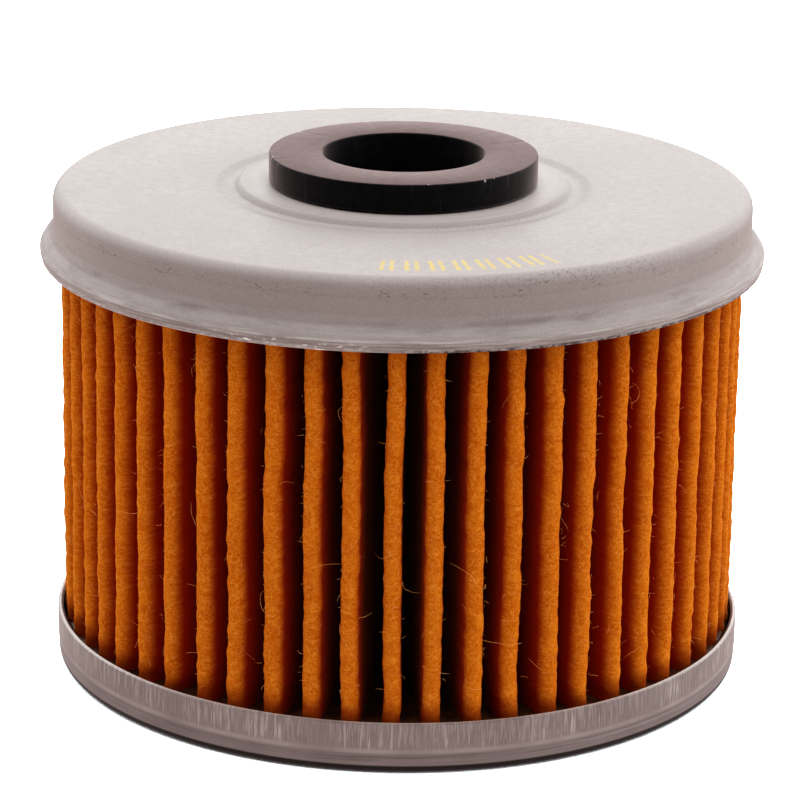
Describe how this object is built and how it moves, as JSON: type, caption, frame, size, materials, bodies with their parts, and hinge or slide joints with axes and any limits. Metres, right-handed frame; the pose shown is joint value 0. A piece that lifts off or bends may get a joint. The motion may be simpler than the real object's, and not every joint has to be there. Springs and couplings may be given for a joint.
{
  "type": "cartridge oil filter",
  "caption": "Round cartridge oil filter with pleated media between stamped steel end caps, a rubber outlet seal and a bypass valve in its closed end.",
  "frame": {"origin": "centre of the closed end's lower face, on the filter's axis", "axes": "+Z along the filter's axis from the closed end towards the outlet seal; +Y towards the media's seam clip"},
  "size_m": [0.057, 0.057, 0.041],
  "materials": {
    "grey_paint": "satin warm grey with fine orange peel",
    "tinned_steel": "bare drawn sheet with fine scratches",
    "nitrile_rubber": "matte black",
    "filter_paper": "orange resin-treated felt",
    "adhesive": "cured dark resin",
    "plain_steel": "bare rolled sheet",
    "spring_steel": "drawn wire"
  },
  "bodies": {
    "filter_element": {"top_end_cap": "grey_paint", "bottom_end_cap": "tinned_steel", "seal_grommet": "nitrile_rubber", "top_adhesive": "adhesive", "bottom_adhesive": "adhesive", "pleated_media": "filter_paper", "media_seam_clip": "plain_steel", "centre_tube": "plain_steel", "bypass_valve_cage": "plain_steel", "bypass_spring": "spring_steel"},
    "bypass_valve": {"bypass_valve_poppet": "plain_steel", "bypass_valve_facing": "nitrile_rubber"}
  },
  "joints": [
    {"name": "bypass_lift", "type": "slide", "parent": "filter_element", "child": "bypass_valve", "axis": [0, 0, 1], "range_m": [0, 0.0024], "stiffness_N_per_m": 1500, "springref_m": -0.0033, "deforming": ["bypass_spring"]}
  ]
}
